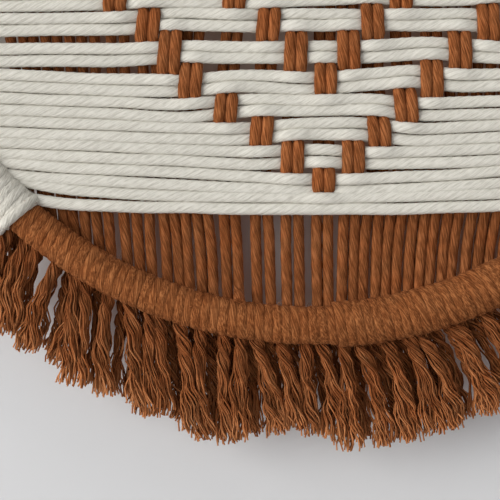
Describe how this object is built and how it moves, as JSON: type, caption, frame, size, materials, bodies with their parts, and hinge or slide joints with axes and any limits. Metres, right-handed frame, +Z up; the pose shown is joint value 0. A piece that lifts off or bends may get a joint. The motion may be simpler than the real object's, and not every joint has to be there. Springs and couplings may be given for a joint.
{
  "type": "woven macrame wall hanging on a wrapped hoop",
  "caption": "Round wall hanging of cream cord pairs woven with rust cord in nested diamonds on a cord-wrapped hoop, with a rust fringe below.",
  "frame": {"origin": "where a nail bears, at the inner top of the wrapped hoop, in the middle of its depth", "axes": "+Z up, -Y the front that faces the room, +X to the right seen from the front"},
  "size_m": [0.2548, 0.0115, 0.285],
  "materials": {
    "bare_hoop": "plain",
    "cream_cotton_cord": "matt twisted cotton",
    "rust_cotton_cord": "matt twisted cotton",
    "rust_cotton_fringe": "unravelled cotton yarn"
  },
  "bodies": {
    "root": {"hoop": "bare_hoop", "weft": "cream_cotton_cord", "warp": "rust_cotton_cord", "fringe": "rust_cotton_fringe"}
  },
  "joints": []
}
